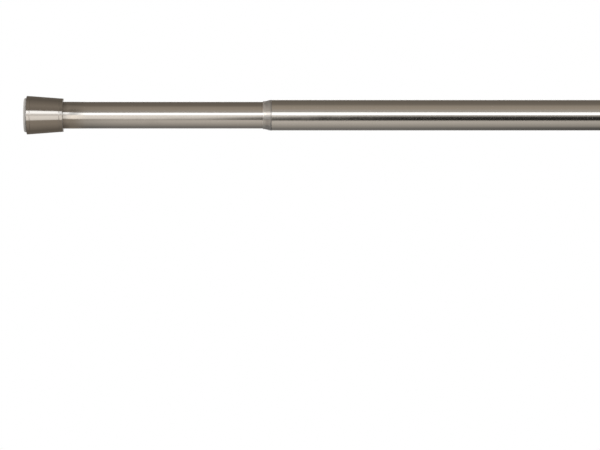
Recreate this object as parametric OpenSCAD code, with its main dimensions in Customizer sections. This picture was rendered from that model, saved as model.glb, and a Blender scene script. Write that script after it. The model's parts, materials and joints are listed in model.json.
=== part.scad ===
// Telescopic tension rod for hanging clothes between two walls: a thin steel tube slides in a
// thick one, and each end has a cap with a rubber pad that swivels. Inside, a screw, a
// compression spring and an eccentric ring set the length and hold it.
// X runs along the rod from the left pad's wall face, and Z is up. Sizes are in millimetres.

/* [Tubes] */
// Outside diameter of the thin tube
inner_od = 28; // [24:0.5:36]
// Wall of the thin tube
inner_wall = 1; // [0.8:0.1:1.4]
// Length of the thin tube
inner_len = 620; // [500:5:630]
// Radial gap between the thin tube and the bore of the thick tube
tube_gap = 1; // [0.9:0.1:1.6]
// Wall of the thick tube
outer_wall = 1; // [0.8:0.1:1.5]
// Length of the thick tube
outer_len = 700; // [690:5:900]
// Length of thin tube that shows between the left cap and the collar
shown_len = 208; // [200:1:300]

/* [End caps] */
// Length of an end cap
cap_len = 38.2; // [34:0.1:60]
// Radial step from the thick tube to the thin end of a cap
cap_lip = 1.3; // [1.2:0.1:3]
// Radial flare of a cap from its thin end to its mouth
cap_flare = 2.85; // [2:0.05:5]
// Wall of a cap
cap_wall = 1.6; // [1.2:0.1:2]
// Length of the thin end's bore, which grips the tube
cap_grip = 6; // [4:0.5:10]

/* [Wall pads] */
// How far a pad stands out of its cap
pad_proud = 2.7; // [2:0.1:6]
// How deep a pad sits in the cap's mouth
pad_seat = 1.7; // [0.6:0.1:3]
// Radial gap between a pad and the cap's mouth
pad_gap = 0.8; // [0.5:0.1:1.5]
// Rounding of a pad's front edge
pad_round = 1.2; // [0.4:0.1:1.6]
// Number of grip grooves in a pad's face
pad_grooves = 2; // [1:1:2]
// Thickness of the disc that carries a pad
carrier_plate = 2.4; // [2:0.1:4]

/* [End plugs] */
// Thickness of a plug's flange
plug_flange = 3; // [2:0.1:5]
// Length of a plug inside its tube
plug_len = 24; // [20:0.5:30]
// Wall of a plug's cup
plug_wall = 2.2; // [1.6:0.1:3]
// Number of ribs between a plug's cup and its boss
plug_ribs = 4; // [3:1:6]

/* [Collar] */
// Length of the collar that shows
collar_len = 9.2; // [7:0.1:16]
// Length of the collar inside the thick tube
collar_insert = 22; // [12:0.5:40]
// How far the collar's rim stands out past the thick tube, on the radius
collar_rim = 0.1; // [0.05:0.05:0.8]

/* [Screw] */
// Outside diameter of the screw's thread
thread_d = 12; // [10:0.5:14]
// Depth of the thread
thread_depth = 1.2; // [1:0.1:1.4]
// Pitch of the thread
thread_pitch = 4; // [3.6:0.1:6]
// How far the screw can push the tubes apart
screw_travel = 28; // [12:1:32]
// Length of the nut inside the thin tube
nut_len = 26; // [22:0.5:32]
// Length of the nut's flange, which carries the glide ring
nut_flange = 8; // [7:0.5:12]
// Turns of thread in the nut
nut_turns = 3; // [2:1:3]
// Radius of the screw's shank, which has two flats
shank_r = 5; // [4:0.1:5.5]

/* [Spring] */
// Length of the spring between its washers
spring_len = 34; // [30:0.5:44]
// Mean diameter of the spring
spring_d = 17; // [16:0.5:18]
// Diameter of the spring's wire
spring_wire = 2.5; // [1.8:0.1:2.8]
// Turns of the spring between its two end turns
spring_turns = 5; // [3:1:5]

/* [Lock] */
// Length of the lock ring
ring_len = 26; // [16:0.5:30]
// How far the ring's journal lies off the rod's axis
eccentricity = 1.2; // [0.8:0.1:1.3]
// Radial gap between the ring at rest and the thick tube's bore
ring_gap = 0.35; // [0.3:0.05:0.5]
// Mean wall of the ring, which is thin on one side and thick on the other
ring_wall = 3.45; // [3:0.05:4]
// Width of the slit in the ring
ring_slit = 3; // [1.5:0.5:5]

/* [Clearances] */
// Radial gap of a part that slides along a tube
slide_gap = 0.3; // [0.25:0.05:0.4]
// Radial gap of a journal or shaft that turns
run_gap = 0.1; // [0.06:0.01:0.1]
// Gap of a piece pressed into a mouth
press_gap = 0.05; // [0.02:0.01:0.1]

/* [Hidden] */

// Colours
nickel = [0.62, 0.58, 0.53];
steel = [0.55, 0.56, 0.58];
zinc = [0.74, 0.73, 0.68];
rubber_grey = [0.52, 0.5, 0.465];
dark_plastic = [0.2, 0.2, 0.21];
white_plastic = [0.87, 0.86, 0.82];
milky_plastic = [0.7, 0.69, 0.66];

// Small amount by which shapes that are joined or cut run past each other
lap = 0.2;

// Radii of the two tubes and the caps
inner_r = inner_od / 2;
inner_bore_r = inner_r - inner_wall;
outer_bore_r = inner_r + tube_gap;
outer_r = outer_bore_r + outer_wall;
neck_r = outer_r + cap_lip;
rim_r = neck_r + cap_flare;
mouth_r = rim_r - cap_wall;
pad_r = mouth_r - pad_gap;

// Stack of pieces at an end, measured along the rod from the wall
pad_t = pad_proud + pad_seat;
flange_x = pad_t + carrier_plate;
tube_x = flange_x + plug_flange;
plug_end = tube_x + plug_len;
cap_end = pad_proud + cap_len;

// The disc that carries a pad, and the screw that it swivels on
spigot_t = 2;
spigot_r = pad_r - 4;
plate_r = mouth_r - 1;
swivel_head_r = 4.2;
swivel_head_t = 2.2;
swivel_shoulder_r = 2.9;
swivel_thread_r = 2;
swivel_thread_len = 14;
swivel_seat = 0.1;
swivel_bearing = carrier_plate - 0.7;
head_room = 0.8;
boss_r = swivel_thread_r + 2.6;
drive_slot = [1, 5, 1.2];

// Rolled grooves that lock a plug or the nut in its tube
crimp_w = 3.2;
crimp_d = 0.6;
plug_crimp = tube_x + plug_len / 2;

// The tubes along the rod
inner_end = tube_x + inner_len;
collar_x = cap_end + shown_len;
outer_x = collar_x + collar_len;
outer_end = outer_x + outer_len;
rod_len = outer_end + tube_x;

// The nut in the thin tube's inner end
nut_x = inner_end - nut_len;
nut_end = inner_end + nut_flange;
nut_crimp = inner_end - nut_len / 2;
glide_w = 4;
glide_x = inner_end + (nut_flange - glide_w) / 2;
glide_seat_r = inner_r - 1.4;
glide_slit = 1.2;

// The screw and its thread
thread_r = thread_d / 2;
core_r = thread_r - thread_depth;
thread_steps = 12;
thread_bury = 0.4;
nut_crest_gap = 0.45;
thread_root_w = 0.6 * thread_pitch;
thread_crest_w = 0.3 * thread_pitch;
stop_gap = 0.5;
stop_len = 8;
stop_r = inner_bore_r - 1;
stub_r = core_r - 0.4;
pin_r = 1.5;
stop_x = nut_x - screw_travel - stop_gap - stop_len;
head_gap = 2;
head_x = nut_end + head_gap;
head_t = 4;
head_r = (spring_d + spring_wire) / 2 + 1.25;
thread_x = stop_x + stop_len + 1;
nut_thread_inset = 3;
nut_thread_x = thread_x
    + (ceil((nut_x + nut_thread_inset - thread_x) / thread_pitch) + 0.5) * thread_pitch;

// The spring and the pieces that slide on the screw's flatted shank
washer_t = 1;
shank_flat = shank_r - 1.2;
washer_hole_r = shank_r + slide_gap;
seat_x = head_x + head_t;
spring_x = seat_x + washer_t;
spring_end = spring_x + spring_len;
spring_steps = 8;
spring_sides = 6;
end_turn_gap = 0.5;
spring_ease = 0.05;
hub_x = spring_end + washer_t;
hub_r = outer_bore_r - 0.6;
hub_collar = 5;
ring_side_gap = 0.2;
journal_len = ring_len + 2 * ring_side_gap;
journal_x = hub_x + hub_collar;
journal_end = journal_x + journal_len;
hub_cap_len = 6;
hub_end = journal_end + hub_cap_len;
ring_r = outer_bore_r - ring_gap;
ring_hole_r = ring_r - ring_wall;
journal_r = ring_hole_r - run_gap;
stub_cap_r = journal_r - eccentricity - 1.9;
end_play = 0.1;
shank_end = hub_end + end_play;
end_washer_t = 1.5;
end_washer_r = 9;
end_screw_head_r = 4;
end_screw_head_t = 2.6;
end_screw_r = 2;
end_screw_len = 14;

$fn = 96;

// The same list from its last item to its first
function reversed(list) = [for (i = [len(list) - 1:-1:0]) list[i]];

// Points of a quarter round from angle a to angle b about a centre
function arc(centre, r, a, b, steps = 5) =
    [for (i = [0:steps]) centre + r * [cos(a + (b - a) * i / steps), sin(a + (b - a) * i / steps)]];

// A rolled groove in a wall line at radius r, as points [radius, position along the rod]
function crimp(r, x) = [
    [r, x - crimp_w / 2], [r - crimp_d, x - crimp_w / 2 + crimp_d],
    [r - crimp_d, x + crimp_w / 2 - crimp_d], [r, x + crimp_w / 2]
];

// Outside radius of a cap's taper at a place along the rod
function cap_r(x) = rim_r - cap_flare * (x - pad_proud) / cap_len;

// A turned piece about the rod's axis, from points [radius, position along the rod]
module turned(points) {
    rotate([0, 90, 0]) rotate_extrude() polygon(points);
}

// A round bar or hole along the rod
module bar(x, length, r, z = 0) {
    translate([x, 0, z]) rotate([0, 90, 0]) cylinder(r = r, h = length);
}

// A piece of the left end, or the same piece turned round at the right end
module at_end(right) {
    if (right) translate([rod_len, 0, 0]) mirror([1, 0, 0]) children();
    else children();
}

// A tube with a square-cut end and rolled grooves
module crimped_tube(x, length, r, wall, grooves) {
    outside = [for (g = grooves) each crimp(r, g)];
    inside = [for (g = grooves) each crimp(r - wall, g)];
    turned(concat(
        [[r - wall, x], [r, x]], outside,
        [[r, x + length], [r - wall, x + length]], reversed(inside)));
}

// A section swept round an axis along Z, whose points are [radius, offset along the axis]
module wound(section, heights, per_turn) {
    n = len(section);
    last = len(heights) - 1;
    points = [for (i = [0:last]) let (a = 360 * i / per_turn) for (p = section)
        [p[0] * cos(a), p[0] * sin(a), heights[i] + p[1]]];
    sides = [for (i = [0:last - 1]) for (j = [0:n - 1]) let (k = (j + 1) % n)
        each [[i * n + j, i * n + k, (i + 1) * n + k],
              [i * n + j, (i + 1) * n + k, (i + 1) * n + j]]];
    start = [for (j = [1:n - 2]) [0, j + 1, j]];
    finish = [for (j = [1:n - 2]) [last * n, last * n + j, last * n + j + 1]];
    polyhedron(points, concat(sides, start, finish));
}

// A right-handed thread ridge along the rod from x, with its root at one radius and its crest
// at another
module thread_ridge(x, turns, root_r, crest_r) {
    flip = root_r < crest_r ? 1 : -1;
    section = [
        [root_r, -flip * thread_root_w / 2], [crest_r, -flip * thread_crest_w / 2],
        [crest_r, flip * thread_crest_w / 2], [root_r, flip * thread_root_w / 2]
    ];
    steps = floor(turns * thread_steps);
    translate([x, 0, 0]) rotate([0, 90, 0])
        wound(section, [for (i = [0:steps]) thread_pitch * i / thread_steps], thread_steps);
}

// A bar with two flats, for the screw's shank and the hole that it slides in
module flatted_bar(x, length, grow) {
    intersection() {
        bar(x, length, shank_r + grow);
        translate([x, -shank_r * 2, -shank_flat - grow])
            cube([length, shank_r * 4, 2 * (shank_flat + grow)]);
    }
}

// A cross recess in a screw head whose face is at x and looks towards -X
module cross_recess(x) {
    for (turn = [0, 90]) translate([x - lap, 0, 0]) rotate([turn, 0, 0])
        translate([0, -drive_slot[1] / 2, -drive_slot[0] / 2])
            cube([drive_slot[2] + lap, drive_slot[1], drive_slot[0]]);
}

// Rubber pad with grip grooves in its wall face and a pocket behind for its carrier
module wall_pad(right) {
    groove_w = 2;
    groove_d = 0.5;
    first_r = pad_r / 3;
    step_r = (pad_r - pad_round - first_r) / pad_grooves;
    grooves = [for (i = [0:pad_grooves - 1]) let (r = first_r + i * step_r) each
        [[r, 0], [r + groove_d, groove_d], [r + groove_w - groove_d, groove_d], [r + groove_w, 0]]];
    color(rubber_grey) at_end(right) turned(concat(
        [[0, 0]], grooves, arc([pad_r - pad_round, pad_round], pad_round, -90, 0),
        [[pad_r, pad_t], [spigot_r, pad_t], [spigot_r, pad_t - spigot_t], [0, pad_t - spigot_t]]));
}

// Plastic disc that carries the pad and turns on the swivel screw
module pad_carrier(right) {
    bearing_x = flange_x - swivel_bearing;
    color(dark_plastic) at_end(right) turned([
        [swivel_head_r + head_room, pad_t - spigot_t], [spigot_r, pad_t - spigot_t],
        [spigot_r, pad_t], [plate_r, pad_t], [plate_r, flange_x],
        [swivel_shoulder_r + run_gap, flange_x], [swivel_shoulder_r + run_gap, bearing_x],
        [swivel_head_r + head_room, bearing_x]
    ]);
}

// Shoulder screw that holds the carrier on the plug and lets it turn
module swivel_screw(right) {
    head_end = flange_x - swivel_bearing - swivel_seat;
    color(zinc) at_end(right) difference() {
        turned([
            [0, head_end - swivel_head_t], [swivel_head_r, head_end - swivel_head_t],
            [swivel_head_r, head_end], [swivel_shoulder_r, head_end],
            [swivel_shoulder_r, flange_x], [swivel_thread_r, flange_x],
            [swivel_thread_r, flange_x + swivel_thread_len], [0, flange_x + swivel_thread_len]
        ]);
        cross_recess(head_end - swivel_head_t);
    }
}

// Plastic plug in a tube's end: its flange stops the tube and centres the cap's mouth
module end_plug(right) {
    bore_r = right ? outer_bore_r : inner_bore_r;
    cup_r = bore_r - plug_wall;
    floor_x = tube_x + 1;
    rib_t = 1.6;
    color(white_plastic) at_end(right) union() {
        turned(concat(
            [[swivel_thread_r, flange_x], [mouth_r - press_gap, flange_x],
             [mouth_r - press_gap, tube_x], [bore_r, tube_x]],
            crimp(bore_r, plug_crimp),
            [[bore_r, plug_end - 1], [bore_r - 1, plug_end], [cup_r, plug_end],
             [cup_r, floor_x], [boss_r, floor_x], [boss_r, plug_end],
             [swivel_thread_r, plug_end]]));
        for (i = [0:plug_ribs - 1]) rotate([360 * i / plug_ribs, 0, 0])
            translate([floor_x - lap, -rib_t / 2, boss_r - lap])
                cube([plug_len - 4, rib_t, cup_r - boss_r + 2 * lap]);
    }
}

// Tapered metal cap: its mouth takes the pad and the plug's flange, its thin end grips the tube
module end_cap(right) {
    tube_r = right ? outer_r : inner_r;
    grip_x = cap_end - cap_grip;
    rim_round = 0.7;
    neck_round = 0.5;
    line_w = 0.5;
    line_d = 0.15;
    lines = [for (x = [pad_proud + 3.5, cap_end - 4]) each [
        [cap_r(x), x], [cap_r(x) - line_d, x + line_w / 2], [cap_r(x), x + line_w]
    ]];
    color(nickel) at_end(right) turned(concat(
        [[mouth_r, pad_proud + rim_round], [mouth_r + rim_round / 2, pad_proud]],
        arc([cap_r(pad_proud + rim_round) - rim_round, pad_proud + rim_round], rim_round, -90, 0),
        lines,
        arc([cap_r(cap_end - neck_round) - neck_round, cap_end - neck_round], neck_round, 0, 90),
        [[tube_r, cap_end], [tube_r, grip_x],
         [max(cap_r(grip_x) - cap_wall, tube_r + 0.1), grip_x],
         [cap_r(tube_x) - cap_wall, tube_x], [mouth_r, tube_x]]));
}

// Thin tube, with a rolled groove for the plug at one end and for the nut at the other
module inner_tube() {
    color(nickel) crimped_tube(tube_x, inner_len, inner_r, inner_wall, [plug_crimp, nut_crimp]);
}

// Thick tube, with a rolled groove for its plug
module outer_tube() {
    color(nickel)
        crimped_tube(outer_x, outer_len, outer_r, outer_wall, [rod_len - plug_crimp]);
}

// Milky plastic collar in the thick tube's mouth: it guides the thin tube and hides the edge
module tube_collar() {
    bore_r = inner_r + slide_gap;
    lip_r = bore_r + 0.35;
    crown_r = outer_r + collar_rim;
    edge = 0.15;
    lip_share = 0.12;
    swell_share = 0.79;
    swell_x = collar_x + lip_share * collar_len;
    swell_w = swell_share * collar_len;
    swell_steps = 10;
    swell = [for (i = [0:swell_steps]) let (t = i / swell_steps)
        [lip_r + (crown_r - lip_r) * t * t * (3 - 2 * t), swell_x + swell_w * t]];
    lead_in = 0.4;
    insert_end = outer_x + collar_insert;
    color(milky_plastic) turned(concat(
        [[bore_r, collar_x], [lip_r - edge, collar_x], [lip_r, collar_x + edge]],
        swell,
        [[crown_r, outer_x - edge], [crown_r - edge, outer_x],
         [outer_bore_r, outer_x], [outer_bore_r, insert_end - lead_in],
         [outer_bore_r - lead_in, insert_end], [bore_r, insert_end]]));
}

// Nut in the thin tube's inner end, with a seat for the glide ring on its flange
module screw_nut() {
    glide_end = glide_x + glide_w;
    color(white_plastic) union() {
        difference() {
            turned(concat(
                [[0, nut_x], [inner_bore_r - 1, nut_x], [inner_bore_r, nut_x + 1]],
                crimp(inner_bore_r, nut_crimp),
                [[inner_bore_r, inner_end], [inner_r, inner_end], [inner_r, glide_x],
                 [glide_seat_r, glide_x], [glide_seat_r, glide_end], [inner_r, glide_end],
                 [inner_r, nut_end], [0, nut_end]]));
            bar(nut_x - lap, nut_end - nut_x + 2 * lap, thread_r + slide_gap);
        }
        thread_ridge(nut_thread_x, nut_turns, thread_r + slide_gap + thread_bury,
            core_r + nut_crest_gap);
    }
}

// Split nylon ring that keeps the thin tube's inner end central in the thick tube
module glide_ring() {
    glide_r = outer_bore_r - slide_gap;
    round_r = 0.5;
    color(milky_plastic) difference() {
        turned([
            [glide_seat_r, glide_x], [glide_r - round_r, glide_x], [glide_r, glide_x + round_r],
            [glide_r, glide_x + glide_w - round_r], [glide_r - round_r, glide_x + glide_w],
            [glide_seat_r, glide_x + glide_w]
        ]);
        translate([glide_x - 1, -glide_slit / 2, 0])
            cube([glide_w + 2, glide_slit, outer_bore_r]);
    }
}

// Screw with a coarse thread, a head that backs the spring, and a shank with two flats
module spindle() {
    turns = (head_x - 1 - thread_x) / thread_pitch;
    color(steel) difference() {
        union() {
            bar(stop_x, stop_len + lap, stub_r);
            bar(stop_x + stop_len, head_x - stop_x - stop_len + lap, core_r);
            thread_ridge(thread_x, turns, core_r - thread_bury, thread_r);
            bar(head_x, head_t, head_r);
            flatted_bar(seat_x - lap, shank_end - seat_x + lap, 0);
        }
        bar(shank_end - end_screw_len, end_screw_len + lap, end_screw_r);
        translate([stop_x + stop_len / 2, 0, 0]) cylinder(r = pin_r, h = 3 * stub_r, center = true);
    }
}

// Stop on the screw's rear end, which keeps the screw from leaving the nut
module spindle_stop() {
    color(dark_plastic) difference() {
        bar(stop_x, stop_len, stop_r);
        bar(stop_x - lap, stop_len + 2 * lap, stub_r);
        translate([stop_x + stop_len / 2, 0, 0]) cylinder(r = pin_r, h = 3 * stop_r, center = true);
    }
}

// Steel pin across the stop and the screw's rear end
module stop_pin() {
    color(zinc) translate([stop_x + stop_len / 2, 0, 0])
        cylinder(r = pin_r, h = 2 * (stop_r - 1), center = true);
}

// Flat washer round the screw's shank
module shank_washer(x) {
    color(zinc) difference() {
        bar(x, washer_t, head_r);
        bar(x - lap, washer_t + 2 * lap, washer_hole_r);
    }
}

// Places along the spring of its wire's centre, with its end turns drawn in
function spring_heights() =
    let (end_pitch = spring_wire + end_turn_gap,
         run = spring_len - spring_wire - 2 * spring_ease,
         mid_pitch = (run - 2 * end_pitch) / spring_turns,
         count = (spring_turns + 2) * spring_steps)
    [for (i = [0:count]) let (t = i / spring_steps)
        min(t, 1) * end_pitch + min(max(t - 1, 0), spring_turns) * mid_pitch
        + max(t - 1 - spring_turns, 0) * end_pitch];

// Compression spring between the screw's head and the lock
module pressure_spring() {
    wire_r = spring_wire / 2;
    section = [for (i = [0:spring_sides - 1]) let (a = 360 * i / spring_sides)
        [spring_d / 2 + wire_r * cos(a), wire_r * sin(a)]];
    color(steel) translate([spring_x + spring_ease + wire_r, 0, 0]) rotate([0, 90, 0])
        wound(section, spring_heights(), spring_steps);
}

// Hub that slides on the shank, with an eccentric journal for the lock ring
module lock_hub() {
    color(dark_plastic) difference() {
        union() {
            bar(hub_x, hub_collar, hub_r);
            bar(journal_x - lap, journal_len + lap, journal_r, eccentricity);
            bar(journal_end - lap, hub_cap_len + lap, stub_cap_r);
        }
        flatted_bar(hub_x - lap, hub_end - hub_x + 2 * lap, run_gap);
    }
}

// Cap pressed on the hub's stub, which keeps the lock ring on its journal
module hub_cap() {
    color(white_plastic) turned([
        [stub_cap_r, journal_end], [hub_r, journal_end], [hub_r, hub_end - 1],
        [hub_r - 1, hub_end], [stub_cap_r, hub_end]
    ]);
}

// Split ring on the eccentric journal: turned either way it jams in the thick tube
module lock_ring() {
    x = journal_x + ring_side_gap;
    color(milky_plastic) difference() {
        bar(x, ring_len, ring_r);
        bar(x - lap, ring_len + 2 * lap, ring_hole_r, eccentricity);
        translate([x - lap, -ring_slit / 2, 0])
            cube([ring_len + 2 * lap, ring_slit, ring_r + 1]);
    }
}

// Washer that keeps the hub on the shank
module end_washer() {
    color(zinc) turned([
        [end_screw_r, shank_end], [end_washer_r, shank_end],
        [end_washer_r, shank_end + end_washer_t], [end_screw_r, shank_end + end_washer_t]
    ]);
}

// Screw in the shank's end
module end_screw() {
    head = shank_end + end_washer_t;
    face = head + end_screw_head_t;
    color(steel) difference() {
        turned(concat(
            [[0, shank_end - end_screw_len], [end_screw_r, shank_end - end_screw_len],
             [end_screw_r, head], [end_screw_head_r, head]],
            arc([end_screw_head_r - 1.2, face - 1.2], 1.2, 0, 90), [[0, face]]));
        translate([2 * face, 0, 0]) mirror([1, 0, 0]) cross_recess(face);
    }
}

// Least gap between turns of the spring, measured between points of its wire's centre line
spring_points = [for (i = [0:len(spring_heights()) - 1]) let (a = 360 * i / spring_steps)
    [spring_d / 2 * cos(a), spring_d / 2 * sin(a), spring_heights()[i]]];
spring_gaps = [for (i = [0:len(spring_points) - 1 - spring_steps])
    norm(spring_points[i + spring_steps] - spring_points[i]) - spring_wire];
echo("Least gap between turns of the spring", min(spring_gaps));
echo("Length of the rod at rest", rod_len);

wall_pad(false);  // wall_pad_left
pad_carrier(false);  // pad_carrier_left
swivel_screw(false);  // swivel_screw_left
end_plug(false);  // end_plug_left
end_cap(false);  // end_cap_left
inner_tube();
screw_nut();
glide_ring();
spindle();
spindle_stop();
stop_pin();
shank_washer(seat_x);  // seat_washer
pressure_spring();
shank_washer(spring_end);  // hub_washer
lock_hub();
hub_cap();
lock_ring();
end_washer();
end_screw();
tube_collar();
outer_tube();
end_plug(true);  // end_plug_right
end_cap(true);  // end_cap_right
swivel_screw(true);  // swivel_screw_right
pad_carrier(true);  // pad_carrier_right
wall_pad(true);  // wall_pad_right
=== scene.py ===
# %% [markdown]
# # Dressing a telescopic tension rod
# The rod is two steel tubes, one sliding in the other, with a tapered metal cap and a swivelling
# rubber pad at each end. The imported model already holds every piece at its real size, so it is
# loaded first and stays as a fixed frame. This lesson adds the camera, the light and the
# finishes, and remakes only the pieces whose form a plain solid can't show.

# %% Load the fixed frame
import json
import math

import bmesh
import bpy
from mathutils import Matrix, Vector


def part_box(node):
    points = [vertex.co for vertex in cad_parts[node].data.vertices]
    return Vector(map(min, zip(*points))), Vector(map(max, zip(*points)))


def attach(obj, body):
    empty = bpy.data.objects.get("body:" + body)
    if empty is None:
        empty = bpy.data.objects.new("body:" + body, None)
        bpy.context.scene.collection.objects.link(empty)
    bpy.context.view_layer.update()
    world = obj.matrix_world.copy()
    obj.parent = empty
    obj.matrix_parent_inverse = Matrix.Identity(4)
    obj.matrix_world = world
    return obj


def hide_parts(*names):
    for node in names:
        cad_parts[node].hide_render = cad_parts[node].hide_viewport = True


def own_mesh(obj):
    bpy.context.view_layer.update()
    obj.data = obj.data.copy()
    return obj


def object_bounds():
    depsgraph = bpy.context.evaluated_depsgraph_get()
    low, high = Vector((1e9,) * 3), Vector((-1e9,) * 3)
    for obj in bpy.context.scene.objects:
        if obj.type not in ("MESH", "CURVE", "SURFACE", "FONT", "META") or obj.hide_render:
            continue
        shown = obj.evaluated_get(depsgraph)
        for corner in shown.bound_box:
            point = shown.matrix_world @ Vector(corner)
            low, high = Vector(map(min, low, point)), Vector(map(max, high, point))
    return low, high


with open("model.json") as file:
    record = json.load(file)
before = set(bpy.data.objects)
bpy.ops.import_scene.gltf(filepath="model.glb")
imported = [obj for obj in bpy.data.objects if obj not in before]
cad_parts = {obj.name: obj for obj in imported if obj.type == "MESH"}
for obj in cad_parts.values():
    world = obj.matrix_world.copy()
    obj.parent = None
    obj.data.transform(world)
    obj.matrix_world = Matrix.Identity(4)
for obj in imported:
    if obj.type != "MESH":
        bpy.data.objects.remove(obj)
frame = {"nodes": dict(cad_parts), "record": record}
nodes = frame["nodes"]
scene = bpy.context.scene
cad_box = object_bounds()
rod_length = cad_box[1].x

# %% [markdown]
# ## The camera
# A long lens from far away gives the flat, catalogue-like view of the photograph: the rod runs
# level across the upper part of the picture, its left end just inside the frame and its right
# end out of it. The camera could be placed by eye, but four measured facts fix it: the scale at
# the rod, where the left pad's face lies, how high the rod's centre line lies, and how far the
# camera looks down, which the round ends give away.

# %% Camera
photo_width_px, photo_height_px = 600, 450
scale_px_per_m = 959
left_face_px = 24.3
centre_line_px = 115.15
camera_distance = 3.7
camera_elevation = math.radians(10)
sensor_width_mm = 36

aim_x = (photo_width_px / 2 - left_face_px) / scale_px_per_m
aim_drop = (photo_height_px / 2 - centre_line_px) / scale_px_per_m
tilt = math.atan(aim_drop / camera_distance)
depth = camera_distance * math.cos(tilt)

camera_data = bpy.data.cameras.new("photo_camera")
camera_data.sensor_width = sensor_width_mm
camera_data.lens = sensor_width_mm * depth * scale_px_per_m / photo_width_px
camera = bpy.data.objects.new("photo_camera", camera_data)
camera.location = (aim_x, -camera_distance * math.cos(camera_elevation),
                   camera_distance * math.sin(camera_elevation))
camera.rotation_euler = (math.pi / 2 - camera_elevation - tilt, 0, 0)
scene.collection.objects.link(camera)
scene.camera = camera
scene.view_settings.view_transform = "Standard"
print(f"lens {camera_data.lens:.1f} mm, aimed {aim_drop * 1000:.0f} mm below the rod")

# %% [markdown]
# ## Helpers for shader nodes
# Every finish here is a small graph of nodes. Typing each link by hand hides what the graph
# does, so a few helpers keep it short: they add a node and fill its sockets with numbers or with
# other nodes' outputs, do a sum, map a range of values on to another, mix two colours, and give
# the place of a surface point.

# %% Node helpers
def feed(tree, socket, value):
    """Links an output into a socket, or writes the socket's own value."""
    if isinstance(value, bpy.types.NodeSocket):
        tree.links.new(value, socket)
    elif isinstance(value, tuple) and len(value) == 3 and socket.type == "RGBA":
        socket.default_value = (*value, 1)
    else:
        socket.default_value = value


def add(tree, kind, values=None, **settings):
    """Adds a node, sets its options and feeds its sockets by name or number."""
    made = tree.nodes.new(kind)
    for option, value in settings.items():
        setattr(made, option, value)
    for socket, value in (values or {}).items():
        feed(tree, made.inputs[socket], value)
    return made


def calc(tree, operation, *terms):
    """The output of one Math node."""
    return add(tree, "ShaderNodeMath", dict(enumerate(terms)), operation=operation).outputs[0]


def remap(tree, value, low, high, to_low=0.0, to_high=1.0, ease="SMOOTHSTEP"):
    """Maps low..high on to to_low..to_high, and holds the ends."""
    return add(tree, "ShaderNodeMapRange",
               {0: value, 1: low, 2: high, 3: to_low, 4: to_high},
               interpolation_type=ease).outputs[0]


def mix_colour(tree, share, first, second):
    """A colour between two others."""
    made = add(tree, "ShaderNodeMix", data_type="RGBA")
    for name, value in (("Factor_Float", share), ("A_Color", first), ("B_Color", second)):
        feed(tree, next(s for s in made.inputs if s.identifier == name), value)
    return next(s for s in made.outputs if s.identifier == "Result_Color")


def place(tree):
    """The surface point in the rod's own frame, in metres."""
    return add(tree, "ShaderNodeTexCoord").outputs["Object"]


def coordinates(tree):
    """The surface point's X, Y and Z, by name."""
    return add(tree, "ShaderNodeSeparateXYZ", {0: place(tree)}).outputs


# %% [markdown]
# ## A white studio
# The photograph is cut out on pure white. Making the world that bright for everything would wash
# out the pads and the collar, so the Light Path node splits it: the camera, mirror reflections
# and see-through plastic meet a white of strength 1, and matt surfaces get a softer fill.

# %% World
matt_fill = 0.42

world = bpy.data.worlds.new("white_studio")
world.use_nodes = True
scene.world = world
tree = world.node_tree
tree.nodes.clear()
path = add(tree, "ShaderNodeLightPath").outputs
seen_white = calc(tree, "MAXIMUM", calc(tree, "MAXIMUM", path["Is Camera Ray"],
                                        path["Is Glossy Ray"]), path["Is Transmission Ray"])
sky = add(tree, "ShaderNodeBackground", {
    "Color": (1.0, 1.0, 1.0),
    "Strength": remap(tree, seen_white, 0, 1, matt_fill, 1.0, ease="LINEAR")})
add(tree, "ShaderNodeOutputWorld", {"Surface": sky.outputs[0]})
print(f"white where it is seen, {matt_fill} on matt surfaces")

# %% [markdown]
# ## The floor
# The rod hangs between two walls, so the floor lies well below it and only takes a soft shadow.
# A plain disc would end in a hard line against the white world. Here its rim fades into a
# transparent shader, so from any side the pale floor simply dissolves into the background. A
# little light of its own, for the camera alone, keeps it as pale as the world.

# %% Floor
floor_drop = 1.15
floor_radius = 2.9
fade_from, fade_to = 1.2, 0.98 * floor_radius
floor_grey, floor_speckle = (0.86, 0.855, 0.845), (0.88, 0.877, 0.87)
speckles_per_metre = 9.0
floor_lift = 0.3


def new_object(name, made):
    """Turns a mesh under construction into an object in the scene."""
    data = bpy.data.meshes.new(name)
    made.to_mesh(data)
    made.free()
    placed = bpy.data.objects.new(name, data)
    scene.collection.objects.link(placed)
    return placed


def new_material(name):
    """An empty material and its node tree."""
    made = bpy.data.materials.new(name)
    made.use_nodes = True
    made.node_tree.nodes.clear()
    return made, made.node_tree


disc = bmesh.new()
bmesh.ops.create_circle(disc, cap_ends=True, segments=96, radius=floor_radius)
floor = new_object("floor", disc)
floor.location = (rod_length / 2, 0, -floor_drop)

paint, tree = new_material("pale_floor")
point = place(tree)
from_middle = add(tree, "ShaderNodeVectorMath", {0: point}, operation="LENGTH").outputs["Value"]
speckle = add(tree, "ShaderNodeTexNoise", {
    "Vector": point, "Scale": speckles_per_metre, "Detail": 4.0})
matt = add(tree, "ShaderNodeBsdfDiffuse", {
    "Color": mix_colour(tree, speckle.outputs["Fac"], floor_grey, floor_speckle)})
path = add(tree, "ShaderNodeLightPath").outputs
lift = add(tree, "ShaderNodeEmission", {
    "Color": floor_grey, "Strength": calc(tree, "MULTIPLY", path["Is Camera Ray"], floor_lift)})
lit = add(tree, "ShaderNodeAddShader", {0: matt.outputs[0], 1: lift.outputs[0]})
clear = add(tree, "ShaderNodeBsdfTransparent")
faded = add(tree, "ShaderNodeMixShader", {
    0: remap(tree, from_middle, fade_from, fade_to), 1: lit.outputs[0], 2: clear.outputs[0]})
add(tree, "ShaderNodeOutputMaterial", {"Surface": faded.outputs[0]})
floor.data.materials.append(paint)
print(f"floor {floor_drop} m below the rod, fading from {fade_from} m out")

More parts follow.
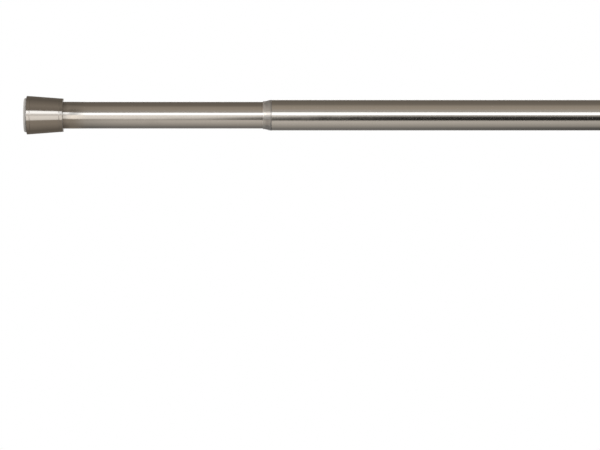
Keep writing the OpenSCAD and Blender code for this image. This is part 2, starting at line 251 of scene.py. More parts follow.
# %% [markdown]
# ## Soft lamps
# Two large area lamps light the matt parts: a key in front, a little above the camera, and a
# weaker one overhead, which also draws the shadow on the floor. An area lamp's power is chosen
# from the level wanted at the rod: power = level x pi^2 x distance squared. They are hidden from
# mirror reflections, because the reflections get a tent of their own below.

# %% Lamps
def soft_lamp(name, level, distance, azimuth, elevation, width, height):
    """A rectangular lamp that gives a white surface facing it the brightness `level`."""
    lamp = bpy.data.lights.new(name, "AREA")
    lamp.shape = "RECTANGLE"
    lamp.size, lamp.size_y = width, height
    lamp.energy = level * math.pi ** 2 * distance ** 2
    made = bpy.data.objects.new(name, lamp)
    a, e = math.radians(azimuth), math.radians(elevation)
    made.location = (rod_length / 2 + distance * math.sin(a) * math.cos(e),
                     -distance * math.cos(a) * math.cos(e), distance * math.sin(e))
    made.rotation_euler = (math.pi / 2 - e, 0, a)
    made.visible_glossy = False
    scene.collection.objects.link(made)
    print(f"{name}: {lamp.energy:.0f} W at {distance} m")


soft_lamp("key_lamp", level=0.50, distance=3.2, azimuth=-14, elevation=20, width=2.2, height=1.2)
soft_lamp("top_lamp", level=0.22, distance=2.6, azimuth=0, elevation=82, width=2.0, height=1.4)

# %% [markdown]
# ## Boards round the rod
# Bare metal has no colour of its own: it shows what stands round it. The photograph's rod has a
# hard white line, a near-black line under it and warm greys above and below, which a studio gets
# by standing long white and black boards beside the subject. Here the boards are a list of stops
# by angle round the rod: 0 degrees is level in front, 90 is straight above and 180 is behind. A
# stop gives the light there and its tint: cool for the bright strip, cream for the lower boards,
# warm for the upper ones and neutral elsewhere. Pale boards behind the rod keep its back from
# going dark.
# Two more lists say how the light changes near the left end and far along the rod, as a share of
# the boards' own.

# %% Boards
brightest = 2.4
neutral, cool = (1.0, 0.99, 0.98), (0.99, 1.04, 1.10)
cream, warm = (1.0, 0.965, 0.92), (1.0, 0.90, 0.78)
strip_low, strip_high = 12.5, 28.8
behind_below = [(-180, 1.60, neutral), (-168, 1.60, neutral), (-165, 0.80, neutral),
                (-154, 0.70, neutral)]
behind_above = [(170, 0.42, neutral), (174, 0.45, neutral), (176.5, 1.60, neutral),
                (180, 1.60, neutral)]
boards = [
    *behind_below, (-149, 0.30, neutral), (-130, 0.20, neutral), (-110, 0.22, neutral),
    (-80, 0.42, cream), (-47, 0.635, cream), (-27.5, 0.605, cream), (-17, 1.00, neutral),
    (-8, 1.06, neutral), (11, 1.07, neutral), (strip_low, 2.10, cool), (strip_high, 2.10, cool),
    (30.4, 0.50, neutral), (60, 0.42, warm), (79, 0.37, warm), (99, 0.215, warm),
    (140, 0.17, warm), (165, 0.19, warm), *behind_above,
]
near_end = [
    (-180, 1.0), (-154, 1.0), (-149, 0.20), (-24, 0.20), (-20, 1.0), (strip_high, 1.0),
    (30.4, 0.50), (75, 0.62), (105, 0.95), (180, 1.0),
]
far_along = [
    (-180, 1.0), (-154, 1.0), (-149, 0.44), (-100, 0.44), (-82, 0.82), (-22, 0.84), (-17, 1.0),
    (-10, 0.80), (4, 0.76), (12, 1.0), (180, 1.0),
]
print(f"{len(boards)} stops, the brightest at {max(light for _, light, _ in boards)}")

# %% [markdown]
# ## Cloth for the reflectors
# Separate boards would need one object for each and would show their ends in the metal. One long
# tube of glowing cloth round the rod holds them all: a Color Ramp paints its inside by the angle
# round the axis. Reflections and light that passes through the collar meet it, and every other
# kind of ray goes through, so it neither lights the floor nor hides the rod from the camera.

# %% Reflector cloth
no_tint = (1, 1, 1)


def reflector_tube(name, radius, x_from, x_to, end_walls, segments=96):
    """A tube of cloth about the X axis, made ring by ring, that the camera doesn't see."""
    made = bmesh.new()
    turn = [2 * math.pi * i / segments for i in range(segments)]
    rings = [[made.verts.new((x, radius * math.sin(t), radius * math.cos(t))) for t in turn]
             for x in (x_from, x_to)]
    for i in range(segments):
        j = (i + 1) % segments
        made.faces.new((rings[0][i], rings[0][j], rings[1][j], rings[1][i]))
    if end_walls:
        for ring in rings:
            made.faces.new(ring)
    tube = new_object(name, made)
    for ray in ("camera", "diffuse", "volume_scatter", "shadow"):
        setattr(tube, f"visible_{ray}", False)
    return tube


def cloth(name):
    """A material for a reflector: its tree, its coordinates and the angle round the rod."""
    made, tree = new_material(name)
    made.cycles.emission_sampling = "NONE"
    xyz = coordinates(tree)
    angle = calc(tree, "ARCTAN2", xyz["Z"], calc(tree, "MULTIPLY", xyz["Y"], -1.0))
    return made, tree, xyz, calc(tree, "DEGREES", angle)


def ramp_round(tree, degrees, stops, highest):
    """A Color Ramp round the rod, from (angle, light, tint) stops with light up to `highest`."""
    turn_share = remap(tree, degrees, -180, 180, ease="LINEAR")
    made = add(tree, "ShaderNodeValToRGB", {0: turn_share})
    elements = made.color_ramp.elements
    while len(elements) > 1:
        elements.remove(elements[-1])
    for i, (stop_angle, light, tint) in enumerate(stops):
        place_on_ramp = (stop_angle + 180) / 360
        element = elements[0] if i == 0 else elements.new(place_on_ramp)
        element.position = place_on_ramp
        element.color = (*(light / highest * c for c in tint), 1)
    return made.outputs["Color"]


def light_share(tree, degrees, stops, mask):
    """1 where the mask is 0, and the share of light that the stops give where it is 1."""
    highest = 2.0
    ramp = ramp_round(tree, degrees, [(a, share, no_tint) for a, share in stops], highest)
    change = calc(tree, "SUBTRACT", calc(tree, "MULTIPLY", ramp, highest), 1.0)
    return calc(tree, "ADD", 1.0, calc(tree, "MULTIPLY", mask, change))


# %% [markdown]
# ## The tent
# The large tube stands a metre from the rod and reaches well past both its ends, where walls
# close it, so that the rod's own ends are lit too. One more board is painted over the others: the
# black one under the bright strip. It starts only near the middle of the rod, as it does in the
# photograph, and its start slants, because the photographed line begins at its lower edge and
# widens upwards. It is blackest below and lets more light through towards the bright strip.

# %% Reflection tent
tent_radius = 1.0
tent_from, tent_to = -2.2, 3.2
end_full, end_gone = -0.08, 0.04
far_starts, far_full = 0.28, 0.80

black_starts, black_full = 0.20, 0.315
slant_per_degree, slant_from = 0.0045, -16
black_top, black_bottom = (11, strip_low), (-31.5, -29.5)
thinning, deepest, thinnest = (-7, 10), 0.98, 0.38
lower_rim, rim_thinner = (-18, -10), 0.025


def black_board(tree, xyz, degrees):
    """How much of the light the black board takes away, 0 to 1."""
    slant = calc(tree, "MULTIPLY", calc(tree, "MAXIMUM", degrees, slant_from), slant_per_degree)
    along = calc(tree, "SUBTRACT", xyz["X"], slant)
    depth = calc(tree, "SUBTRACT",
                 remap(tree, degrees, *thinning, deepest, thinnest, ease="LINEAR"),
                 remap(tree, degrees, *lower_rim, rim_thinner, 0))
    edges = calc(tree, "MULTIPLY", remap(tree, degrees, *black_top, 1, 0),
                 remap(tree, degrees, *black_bottom))
    return calc(tree, "MULTIPLY", calc(tree, "MULTIPLY", depth, edges),
                remap(tree, along, black_starts, black_full))


tent = reflector_tube("reflection_tent", tent_radius, tent_from, tent_to, end_walls=True)
tent_cloth, tree, xyz, degrees = cloth("tent_cloth")
board_light = ramp_round(tree, degrees, boards, brightest)
by_end = remap(tree, xyz["X"], end_full, end_gone, 1, 0)
by_far = remap(tree, xyz["X"], far_starts, far_full)
lit = calc(tree, "MULTIPLY", calc(tree, "SUBTRACT", 1.0, black_board(tree, xyz, degrees)),
           calc(tree, "MULTIPLY", light_share(tree, degrees, near_end, by_end),
                light_share(tree, degrees, far_along, by_far)))
glow = add(tree, "ShaderNodeEmission", {
    "Color": board_light, "Strength": calc(tree, "MULTIPLY", brightest, lit)})
add(tree, "ShaderNodeOutputMaterial", {"Surface": glow.outputs[0]})
tent.data.materials.append(tent_cloth)
print(f"tent {tent_to - tent_from:.1f} m long, black board from {black_starts} m on")

# %% [markdown]
# ## A small reflector for the cap
# The photographed cap shows two pale bands where the tube beside it shows one, so something pale
# stood close to it. A cap tilts its face along the rod, and far away its reflections would land
# on the same boards as the tube's. A short open tube close round the cap keeps them apart. Like
# the tent, it is hidden from the camera. It fades out just past the cap's neck, and a
# Transparent shader mixed in by the place along the rod does that.

# %% Cap reflector
cap_cards_radius = 0.055
before_cap = 0.03
cap_cards = [
    *behind_below, (-149, 0.20, warm), (-85, 0.20, warm), (-40, 0.40, warm), (-17, 0.42, warm),
    (-14.5, 1.25, neutral), (3, 1.46, neutral), (9, 1.10, neutral), (15, 1.12, neutral),
    (20, 2.10, cool), (31.5, 2.10, cool), (33.5, 0.28, warm), (60, 0.36, warm),
    (105, 0.20, warm), (165, 0.20, warm), *behind_above,
]


def fading_reflector(name, radius, x_from, fade, cards):
    """A short reflector tube, opaque from x_from and faded out between the two places of fade."""
    tube = reflector_tube(f"{name}_reflector", radius, x_from, fade[1], end_walls=False)
    made, tree, xyz, degrees = cloth(f"{name}_cloth")
    glow = add(tree, "ShaderNodeEmission", {
        "Color": ramp_round(tree, degrees, cards, brightest), "Strength": brightest})
    clear = add(tree, "ShaderNodeBsdfTransparent")
    faded = add(tree, "ShaderNodeMixShader", {
        0: remap(tree, xyz["X"], *fade), 1: glow.outputs[0], 2: clear.outputs[0]})
    add(tree, "ShaderNodeOutputMaterial", {"Surface": faded.outputs[0]})
    tube.data.materials.append(made)
    print(f"{name} reflector, {radius * 1000:.0f} mm in radius, gone at {fade[1]:.4f} m")


cap_low, cap_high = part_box("end_cap_left")
cap_fade = [cap_high.x + past for past in (0.001, 0.005)]
fading_reflector("cap", cap_cards_radius, cap_low.x - before_cap, cap_fade, cap_cards)

# %% [markdown]
# ## A dim reflector at the cap's neck
# Right beside the cap the photographed tube is darker: its white line starts grey and gains its
# full light some 20 mm further on. The big tent can't do that, because the brushed metal smears
# anything so far away along the rod. A second short tube close to the neck can, just outside the
# cap's own, so that one fades into the other and the last into the tent.

# %% Neck reflector
neck_cards = [
    *behind_below, (-149, 0.20, warm), (-126, 0.28, warm), (-107, 0.21, warm),
    (-80, 0.235, warm), (-60, 0.26, warm), (-46, 0.31, warm), (-21, 0.30, warm),
    (-18, 1.10, cream), (-8, 1.32, cream), (11, 1.30, cream), (strip_low, 0.60, cool),
    (strip_high, 0.78, cool), (32, 0.25, warm), (43, 0.19, warm), (52, 0.19, warm),
    (61, 0.26, warm), (79, 0.26, warm), (104, 0.15, warm), (165, 0.19, warm), *behind_above,
]
neck_clearance = 0.002
neck_starts = cap_high.x - 0.001
neck_fade = [cap_high.x + past for past in (0.007, 0.024)]
fading_reflector("neck", cap_cards_radius + neck_clearance, neck_starts, neck_fade, neck_cards)

# %% [markdown]
# ## Shared surface effects
# Real surfaces are never even. Several finishes here need the same few effects at their own
# scale, so each effect is a node group, made once and reused: fine lines left by turning and
# polishing, the pebble of a spark-eroded mould, faint handling marks, paler wear along a round
# edge, and painted shade in a seam. A group only puts out masks and heights. The shader itself
# stays in each material. Blender's noise seldom leaves 0.3 to 0.7, so a mask stretches that
# range, or a part of it, to 0..1.

# %% Group helper
noise_low, noise_high = 0.3, 0.7


def new_group(name, inputs, outputs):
    """Starts a node group with named number inputs and outputs, and returns it with its ends."""
    group = bpy.data.node_groups.new(name, "ShaderNodeTree")
    for label, value in inputs.items():
        socket = group.interface.new_socket(name=label, in_out="INPUT",
                                            socket_type="NodeSocketFloat")
        socket.default_value = value
    for label in outputs:
        group.interface.new_socket(name=label, in_out="OUTPUT", socket_type="NodeSocketFloat")
    print(f"{name}:", [s.name for s in group.interface.items_tree])
    return group, add(group, "NodeGroupInput").outputs, add(group, "NodeGroupOutput").inputs


def effect(tree, group, **values):
    """Places a node group in a material. Socket names use spaces where the words here use _."""
    made = add(tree, "ShaderNodeGroup", node_tree=group)
    for label, value in values.items():
        feed(tree, made.inputs[label.replace("_", " ")], value)
    return made.outputs


def noise(tree, vector, scale, detail, **more):
    """The value of a Noise texture."""
    made = add(tree, "ShaderNodeTexNoise", {
        "Vector": vector, "Scale": scale, "Detail": detail, **more})
    return made.outputs["Fac"]


# %% [markdown]
# ### Turned lines
# A tube is polished while it spins, so its scratches run round it. Noise that is squeezed hard
# along the rod and barely changes across it draws exactly that: many thin rings which wander and
# fade as they go round. A Wave texture would give rings too, but all alike and never broken.

# %% Turned lines
turned_lines, given, result = new_group(
    "turned_lines", {"Lines per metre": 3000, "Changes per metre": 45}, ["Height", "Shade"])
tree = turned_lines
xyz = coordinates(tree)
across = given["Changes per metre"]
squeezed = add(tree, "ShaderNodeCombineXYZ", {
    0: calc(tree, "MULTIPLY", xyz["X"], given["Lines per metre"]),
    1: calc(tree, "MULTIPLY", xyz["Y"], across),
    2: calc(tree, "MULTIPLY", xyz["Z"], across)}).outputs[0]
lines = noise(tree, squeezed, scale=1.0, detail=3.0, Roughness=0.6)
feed(tree, result["Height"], lines)
feed(tree, result["Shade"], remap(tree, lines, noise_low, noise_high))

# %% [markdown]
# ### Moulded skin
# A moulded plastic or rubber part takes the fine pebble of its steel mould. Voronoi cells give
# the pebbles, and a slower noise lets them lie denser in some places than in others.

# %% Moulded skin
pebble_share, drift_share = 0.7, 0.3
drift_per_pebble = 0.12

moulded_skin, given, result = new_group("moulded_skin", {"Pebble size": 0.0006},
                                        ["Height", "Mottle"])
tree = moulded_skin
point = place(tree)
per_metre = calc(tree, "DIVIDE", 1.0, given["Pebble size"])
pebbles = add(tree, "ShaderNodeTexVoronoi", {"Vector": point, "Scale": per_metre},
              feature="SMOOTH_F1").outputs["Distance"]
drift = noise(tree, point, calc(tree, "MULTIPLY", per_metre, drift_per_pebble), detail=3.0)
feed(tree, result["Height"], calc(tree, "ADD", calc(tree, "MULTIPLY", pebbles, pebble_share),
                                  calc(tree, "MULTIPLY", drift, drift_share)))
feed(tree, result["Mottle"], remap(tree, drift, noise_low, noise_high))

# %% [markdown]
# ### Handling marks
# Fingers leave faint dull patches, longer along the tube than round it. Two noises multiplied
# together make patches that are rare and soft, which a single noise never is.

# %% Handling marks
squeeze_along = 0.45
prints_per_patch = 6.0
patch_range, print_range = (0.48, 0.72), (0.25, 0.75)

handling, given, result = new_group("handling", {"Patches per metre": 22}, ["Smudge"])
tree = handling
stretched = add(tree, "ShaderNodeMapping", {
    "Vector": place(tree), "Scale": (squeeze_along, 1.0, 1.0)}).outputs[0]
patches = noise(tree, stretched, given["Patches per metre"], detail=2.0)
prints = noise(tree, stretched,
               calc(tree, "MULTIPLY", given["Patches per metre"], prints_per_patch), detail=4.0)
feed(tree, result["Smudge"], calc(tree, "MULTIPLY", remap(tree, patches, *patch_range),
                                  remap(tree, prints, *print_range)))

# %% [markdown]
# ### Worn ring edge
# Every edge of a turned part is a circle about the rod's axis, so the distance from a point to
# that edge needs only its place along the rod and its radius. Noise breaks the worn line up. A
# bevel or pointiness test would find edges by itself, but it depends on how the mesh is cut.

# %% Worn ring edge
nicks_per_metre = 420.0
nick_range, least_wear, most_wear = (0.35, 0.75), 0.25, 1.6
worn_through = 0.3


def length_of(tree, first, second):
    """The length of the long side of a right-angled triangle."""
    squares = [calc(tree, "POWER", side, 2.0) for side in (first, second)]
    return calc(tree, "SQRT", calc(tree, "ADD", *squares))


ring_wear, given, result = new_group(
    "ring_wear", {"Along": 0.0, "Radius": 0.02, "Reach": 0.0008}, ["Mask"])
tree = ring_wear
xyz = coordinates(tree)
off_x = calc(tree, "SUBTRACT", xyz["X"], given["Along"])
off_r = calc(tree, "SUBTRACT", length_of(tree, xyz["Y"], xyz["Z"]), given["Radius"])
nicks = noise(tree, place(tree), nicks_per_metre, detail=3.0)
reach = calc(tree, "MULTIPLY", given["Reach"],
             remap(tree, nicks, *nick_range, least_wear, most_wear))
share_of_reach = calc(tree, "DIVIDE", length_of(tree, off_x, off_r), reach)
feed(tree, result["Mask"],
     calc(tree, "SUBTRACT", 1.0, remap(tree, share_of_reach, worn_through, 1.0)))

# %% [markdown]
# ### Seam shade
# Where one piece ends against another, this mask paints the shade that falls in the corner. The
# mask is 1 at the seam's place along the rod and fades on both sides, and noise makes it uneven
# round the ring. Blender's Ambient Occlusion node finds corners by itself, but the export can't
# keep it.

# %% Seam shade
lumps_per_metre = 160.0
least_reach, most_reach = 0.75, 1.25

seam_shade, given, result = new_group("seam_shade", {"Along": 0.0, "Reach": 0.006}, ["Mask"])
tree = seam_shade
off_seam = calc(tree, "ABSOLUTE", calc(tree, "SUBTRACT", coordinates(tree)["X"], given["Along"]))
uneven = noise(tree, place(tree), lumps_per_metre, detail=3.0)
reach = calc(tree, "MULTIPLY", given["Reach"],
             remap(tree, uneven, noise_low, noise_high, least_reach, most_reach))
feed(tree, result["Mask"], remap(tree, calc(tree, "DIVIDE", off_seam, reach), 0, 1, 1, 0))

# %% [markdown]
# ## Satin nickel
# The tubes and caps are nickel plated over steel and polished round and round. Fine rings
# scatter light along the rod far more than across it, which is why the photograph's reflections
# stay razor sharp from top to bottom but melt into each other from left to right. The Principled
# shader does this with its Anisotropic value and a tangent that runs round the axis. The rings
# are also in the bump, for close views, with a slow waviness that no drawn tube is free of.

# %% Nickel
line_depth, wave_depth = 0.0000008, 0.00006
waves_per_metre = 14.0
# The second share here, and the nickel seam share and reach, set the painted shade where a cap
# sits on a tube.
dull_share, painted_shade_share, pale_lift = 0.97, 0.45, 0.35
worn_share = 0.6
nickel_seam_share, nickel_seam_reach = 0.65, 0.009
line_roughness, smudge_roughness = 0.01, 0.05


def bump(tree, height, depth, under=None):
    """A normal from a height, where 1 in the height stands `depth` metres proud."""
    made = add(tree, "ShaderNodeBump", {"Height": height, "Distance": depth, "Strength": 1.0})
    if under is not None:
        feed(tree, made.inputs["Normal"], under)
    return made.outputs[0]


def shaded_at_seam(tree, base, shade_colour, share, seam, reach):
    """A base colour with painted shade, a darker colour, round a seam at the place `seam` along
    the rod.
    """
    mask = effect(tree, seam_shade, Along=seam, Reach=reach)["Mask"]
    return mix_colour(tree, calc(tree, "MULTIPLY", mask, share), base, shade_colour)


def nickel_colour(tree, shade, colour, edges, seams):
    """The plating's colour: darker in the lines, pale on worn rims, and with painted shade at
    seams.
    """
    dull, painted_shade = [tuple(share * c for c in colour) for share in (dull_share, painted_shade_share)]
    pale = tuple(pale_lift + (1 - pale_lift) * c for c in colour)
    base = mix_colour(tree, shade, dull, colour)
    worn = 0.0
    for along, ring_radius in edges:
        ring = effect(tree, ring_wear, Along=along, Radius=ring_radius)
        worn = calc(tree, "MAXIMUM", worn, ring["Mask"])
    if edges:
        base = mix_colour(tree, calc(tree, "MULTIPLY", worn, worn_share), base, pale)
    # Painted shade where a cap sits on the tube.
    for seam in seams:
        base = shaded_at_seam(tree, base, painted_shade, nickel_seam_share, seam, nickel_seam_reach)
    return base


def nickel(name, colour, roughness, edges=(), seams=()):
    """Turned and plated metal with worn rims, (place along, radius), and painted shade at seams.
    """
    made, tree = new_material(name)
    lines = effect(tree, turned_lines)
    marks = effect(tree, handling)
    grain = remap(tree, lines["Shade"], 0, 1, roughness - line_roughness,
                  roughness + line_roughness, ease="LINEAR")
    wavy = bump(tree, noise(tree, place(tree), waves_per_metre, detail=1.0), wave_depth)
    shader = add(tree, "ShaderNodeBsdfPrincipled", {
        "Base Color": nickel_colour(tree, lines["Shade"], colour, edges, seams),
        "Metallic": 1.0,
        "Roughness": calc(tree, "ADD", grain,
                          calc(tree, "MULTIPLY", marks["Smudge"], smudge_roughness)),
        "Normal": bump(tree, lines["Height"], line_depth, wavy),
        "Anisotropic": 0.74, "Anisotropic Rotation": 0.25,
        "Tangent": add(tree, "ShaderNodeTangent", direction_type="RADIAL", axis="X").outputs[0]})
    add(tree, "ShaderNodeOutputMaterial", {"Surface": shader.outputs[0]})
    return made


# %% [markdown]
# ### Three tones of nickel
# The photograph's caps are darker than its tubes, and the thick tube is a little lighter than the
# thin one. A cap is worn at both its rims, and each tube has painted shade where its cap sits on
# it. The caps are alike, so both necks are a little wider than the thick tube.

# %% Nickel on each piece
cap_lip = 0.0013


def rims(node):
    """The two outer rims of a tapered cap, as (place along the rod, radius)."""
    low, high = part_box(node)
    mouth, neck = (low.x, high.x) if node.endswith("left") else (high.x, low.x)
    neck_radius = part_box("outer_tube")[1].z + cap_lip
    print(f"{node}: mouth at {mouth:.4f} m, neck at {neck:.4f} m")
    return [(mouth, high.z), (neck, neck_radius)]


# Each tube's seam is painted shade where its cap sits on it.
thin_nickel = nickel("satin_nickel_thin", colour=(0.65, 0.60, 0.54), roughness=0.14,
                     seams=[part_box("end_cap_left")[1].x])
thick_nickel = nickel("satin_nickel_thick", colour=(0.68, 0.635, 0.575), roughness=0.14,
                      seams=[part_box("end_cap_right")[0].x])
cap_nickel = {side: nickel(f"satin_nickel_cap_{side}", colour=(0.48, 0.44, 0.395),
                           roughness=0.15, edges=rims(f"end_cap_{side}"))
              for side in ("left", "right")}

# %% [markdown]
# ## Steel that is never seen from outside
# The spindle, spring, pin, washers and screws work hidden in the rod. They still get their own
# finishes: oily drawn steel, and the yellowish bright zinc of bought-in washers and small screws.

# %% Plain and zinc-plated steel
def hidden_steel(name, colour, tint, roughness):
    """Small steel parts: blotchy colour, turned lines and an uneven film of oil."""
    blotches_per_metre, blotch_range = 260.0, (0.35, 0.65)
    oil_roughness, scratch_depth = 0.15, 0.000003
    made, tree = new_material(name)
    lines = effect(tree, turned_lines, Lines_per_metre=5000, Changes_per_metre=120)
    marks = effect(tree, handling, Patches_per_metre=160)
    blotch = noise(tree, place(tree), blotches_per_metre, detail=3.0)
    shader = add(tree, "ShaderNodeBsdfPrincipled", {
        "Base Color": mix_colour(tree, remap(tree, blotch, *blotch_range), colour, tint),
        "Metallic": 1.0,
        "Roughness": remap(tree, marks["Smudge"], 0, 1, roughness, roughness + oil_roughness,
                           ease="LINEAR"),
        "Normal": bump(tree, lines["Height"], scratch_depth)})
    add(tree, "ShaderNodeOutputMaterial", {"Surface": shader.outputs[0]})
    return made


oiled_steel = hidden_steel("oiled_steel", colour=(0.55, 0.56, 0.58), tint=(0.47, 0.46, 0.45),
                           roughness=0.28)
bright_zinc = hidden_steel("bright_zinc", colour=(0.74, 0.73, 0.68), tint=(0.70, 0.66, 0.52),
                           roughness=0.18)
print("made", oiled_steel.name, "and", bright_zinc.name)

# %% [markdown]
# ## Rubber and plastics
# The pads are light grey rubber: matt, a little mottled, with the pebble of the mould and painted
# shade round the rim where they meet the caps. The carriers, hub and stop are plain dark
# plastic, and the plugs, nut and hub cap plain white. One function serves them all, because they
# differ only in numbers.

# %% Moulded materials
def moulded(name, colour, shade, roughness, pebble, depth, seams=()):
    """A moulded material with a pebbled skin, a slight mottle and painted shade at its seams."""
    # The seam numbers set the painted shade where a piece meets the next.
    seam_share, seam_reach, seam_dark, smudge_rough = 0.8, 0.0022, 0.35, 0.10
    made, tree = new_material(name)
    skin = effect(tree, moulded_skin, Pebble_size=pebble)
    marks = effect(tree, handling, Patches_per_metre=60)
    base = mix_colour(tree, skin["Mottle"], shade, colour)
    painted_shade = tuple(seam_dark * c for c in colour)
    # Painted shade at each seam.
    for seam in seams:
        base = shaded_at_seam(tree, base, painted_shade, seam_share, seam, seam_reach)
    shader = add(tree, "ShaderNodeBsdfPrincipled", {
        "Base Color": base,
        "Roughness": calc(tree, "ADD", roughness,
                          calc(tree, "MULTIPLY", marks["Smudge"], smudge_rough)),
        "Normal": bump(tree, skin["Height"], depth)})
    add(tree, "ShaderNodeOutputMaterial", {"Surface": shader.outputs[0]})
    return made


# The pads' seams are painted shade where each pad meets its cap.
pad_rubber = moulded("light_grey_rubber", colour=(0.59, 0.565, 0.53), shade=(0.55, 0.525, 0.49),
                     roughness=0.62, pebble=0.0007, depth=0.00004,
                     seams=[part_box("end_cap_left")[0].x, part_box("end_cap_right")[1].x])
white_plastic = moulded("white_plastic", colour=(0.87, 0.86, 0.82), shade=(0.84, 0.83, 0.79),
                        roughness=0.45, pebble=0.0009, depth=0.00001)
dark_plastic = moulded("dark_plastic", colour=(0.20, 0.20, 0.21), shade=(0.17, 0.17, 0.18),
                       roughness=0.5, pebble=0.0008, depth=0.00002)
print("made", pad_rubber.name, "and", white_plastic.name, "and", dark_plastic.name)

# %% [markdown]
# ## Milky collar plastic
# The collar lets light through but no picture: in the photograph the bands of the tubes carry on
# across it, blurred and paler. Much Transmission with a rough surface does that, over a warm
# white body colour, and a smoother clear coat with a high index of refraction catches the white
# line. Painted shade darkens it at the thick tube's mouth. The two rings inside the rod are the
# same plastic. Subsurface scattering is the other way, for a plastic so deep that nothing behind
# it shows at all.

# %% Milky plastic
tube_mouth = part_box("outer_tube")[0].x
# The mouth colour, share and reach paint shade where the collar meets the thick tube's mouth.
mouth_shade, mouth_share, mouth_reach = (0.38, 0.34, 0.30), 0.75, 0.0026
body_shade, body_light = (0.97, 0.935, 0.89), (1.0, 0.965, 0.92)

milky_plastic, tree = new_material("milky_plastic")
skin = effect(tree, moulded_skin, Pebble_size=0.0011)
body = mix_colour(tree, skin["Mottle"], body_shade, body_light)
shader = add(tree, "ShaderNodeBsdfPrincipled", {
    "Base Color": shaded_at_seam(tree, body, mouth_shade, mouth_share, tube_mouth, mouth_reach),
    "Roughness": 0.28, "IOR": 1.5, "Transmission Weight": 0.90,
    "Coat Weight": 1.0, "Coat IOR": 1.7, "Coat Roughness": 0.12})
add(tree, "ShaderNodeOutputMaterial", {"Surface": shader.outputs[0]})
# The place printed is where the painted shade lies.
print(f"{milky_plastic.name}, dirty at {tube_mouth:.4f} m")

# %% [markdown]
# ## Every solid gets its finish
# The record says which material slot each node takes its finish from, so the nodes are painted
# from it in one loop. The thick tube and the two caps are painted again after it: the record has
# one nickel for all four, but they differ in tone, and each cap's worn rims and the painted shade
# at the thick tube's seam lie at places of their own.

# %% Paint the nodes
finishes = {
    "brushed_nickel": thin_nickel, "pad_rubber": pad_rubber, "milky_plastic": milky_plastic,
    "plug_plastic": white_plastic, "dark_plastic": dark_plastic, "plain_steel": oiled_steel,
    "zinc_steel": bright_zinc,
}


def dress(piece, material):
    """Gives a piece one material in place of those that it has."""
    piece.data.materials.clear()
    piece.data.materials.append(material)


for subpart in frame["record"]["subparts"]:
    dress(nodes[subpart["node"]], finishes[subpart["material_slot"]])
dress(nodes["outer_tube"], thick_nickel)
for side, material in cap_nickel.items():
    dress(nodes[f"end_cap_{side}"], material)

# %% [markdown]
# ## Shapes turned on a lathe
# A rubber pad is a disc of revolution, so it is drawn as half a profile and turned about the
# rod's axis. The profile is a list of (depth from the wall, radius) points, and the round edges
# are arcs. The mesh is closed, so that it could be printed or weighed as it stands.

# %% Lathe
def arc(x, radius, r, start, end, steps=8):
    """Points of an arc round (x, radius). Angle 0 points to the wall and 90 outwards."""
    turns = [math.radians(start + (end - start) * i / steps) for i in range(steps + 1)]
    return [(x - r * math.cos(t), radius + r * math.sin(t)) for t in turns]


def smooth_solid(name, made, sharp_above):
    """The object of a closed mesh, smooth but for edges sharper than the given degrees."""
    bmesh.ops.recalc_face_normals(made, faces=made.faces)
    solid = new_object(name, made)
    solid.data.shade_smooth()
    solid.data.set_sharp_from_angle(angle=math.radians(sharp_above))
    return solid


def lathe(name, profile, face_x, inwards, segments=144):
    """Turns a profile about the rod. Depths count from face_x, inwards is +1 or -1 along X."""
    on_axis = 1e-6
    made = bmesh.new()
    rings = []
    for depth, radius in profile:
        x = face_x + inwards * depth
        count = segments if radius > on_axis else 1
        turns = [2 * math.pi * i / count for i in range(count)]
        rings.append([made.verts.new((x, radius * math.sin(t), radius * math.cos(t)))
                      for t in turns])
    for first, second in zip(rings, rings[1:]):
        for i in range(segments):
            j = (i + 1) % segments
            corners = [first[i % len(first)], first[j % len(first)],
                       second[j % len(second)], second[i % len(second)]]
            made.faces.new(list(dict.fromkeys(corners)))
    turned = smooth_solid(name, made, sharp_above=38)
    print(f"{name}: {len(turned.data.polygons)} faces")
    return turned


# %% [markdown]
# ## Rubber pads
# The pad is what touches the wall. Its front edge is well rounded, its face has two round grip
# grooves with softened lips, and a shallow dimple in the middle keeps the mark of the mould's
# gate off the wall. Behind, it has a pocket for the disc that carries it. The dimple and the
# grooves are short lists of shares, of their depth and of their radius or half width. The solid
# is plainer, with angular grooves and no dimple, so this fuller piece replaces it. It stays
# inside the solid's box.

# %% Pads
groove_count = 2
groove_half_width, groove_depth = 0.001, 0.0005
front_round, back_round = 0.0012, 0.0003
pocket_wall, pocket_depth = 0.004, 0.002
dimple_radius, dimple_depth = 0.0032, 0.0004
dimple_shares = [(1, 0), (1, 0.6), (0.5, 0.85), (0, 1)]
groove_shares = [(0, 1.35), (0.08, 1.0), (0.55, 0.72), (0.92, 0.3)]


def groove(middle):
    """A round-bottomed ring groove with rolled lips, from its inner side to its outer side."""
    inner = [(down * groove_depth, middle - off * groove_half_width)
             for down, off in groove_shares]
    outer = [(down * groove_depth, middle + off * groove_half_width)
             for down, off in reversed(groove_shares)]
    return [*inner, (groove_depth, middle), *outer]


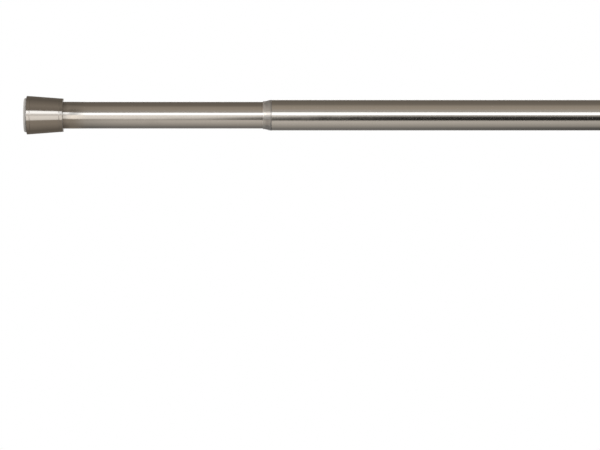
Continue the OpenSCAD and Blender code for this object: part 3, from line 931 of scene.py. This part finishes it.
def rubber_pad(side, inwards):
    """One pad, from the box of the solid that it replaces."""
    node = f"wall_pad_{side}"
    low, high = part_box(node)
    thickness, radius = high.x - low.x, high.z
    pocket_radius, pocket_floor = radius - pocket_wall, thickness - pocket_depth
    first = radius / 3
    step = (radius - front_round - first) / groove_count
    profile = [(down * dimple_depth, out * dimple_radius) for down, out in dimple_shares]
    for i in range(groove_count):
        profile += groove(first + groove_half_width + i * step)
    profile += arc(front_round, radius - front_round, front_round, 0, 90)
    profile += arc(thickness - back_round, radius - back_round, back_round, 90, 180, steps=3)
    profile += [(thickness, pocket_radius), (pocket_floor, pocket_radius), (pocket_floor, 0)]
    face = low.x if inwards > 0 else high.x
    pad = lathe(f"rubber_pad_{side}", profile, face, inwards)
    dress(pad, pad_rubber)
    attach(pad, f"{side}_foot")
    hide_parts(node)


rubber_pad("left", 1)
rubber_pad("right", -1)

# %% [markdown]
# ## The pressure spring
# The spring is a round steel wire wound into a helix, with its two end turns drawn in so that
# they lie flat against the washers. A curve with a bevel could do it, but a swept mesh keeps
# the wire's ends square and closed.

# %% Pressure spring
wire = 0.0025
working_turns = 5
end_gap = 0.0005
end_pitch = wire + end_gap


def coil(name, low_x, high_x, outer_radius, steps=32, sides=14):
    """A helix of round wire between two planes, with a drawn-in turn at each end."""
    mean = outer_radius - wire / 2
    run = high_x - low_x - wire
    pitch = (run - 2 * end_pitch) / working_turns
    made = bmesh.new()
    rings = []
    for i in range((working_turns + 2) * steps + 1):
        t = i / steps
        x = (low_x + wire / 2 + min(t, 1) * end_pitch
             + min(max(t - 1, 0), working_turns) * pitch
             + max(t - 1 - working_turns, 0) * end_pitch)
        a = 2 * math.pi * t
        ring = []
        for k in range(sides):
            b = 2 * math.pi * k / sides
            r = mean + wire / 2 * math.cos(b)
            ring.append(made.verts.new((x + wire / 2 * math.sin(b), r * math.sin(a),
                                        -r * math.cos(a))))
        rings.append(ring)
    for first, second in zip(rings, rings[1:]):
        for k in range(sides):
            m = (k + 1) % sides
            made.faces.new((first[k], first[m], second[m], second[k]))
    made.faces.new(rings[0])
    made.faces.new(rings[-1])
    print(f"{name}: {working_turns + 2} turns, pitch {pitch * 1000:.2f} mm")
    return smooth_solid(name, made, sharp_above=50)


low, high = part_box("pressure_spring")
spring = coil("round_wire_spring", low.x, high.x, high.z)
dress(spring, oiled_steel)
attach(spring, "screw")
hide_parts("pressure_spring")

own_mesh(spring)
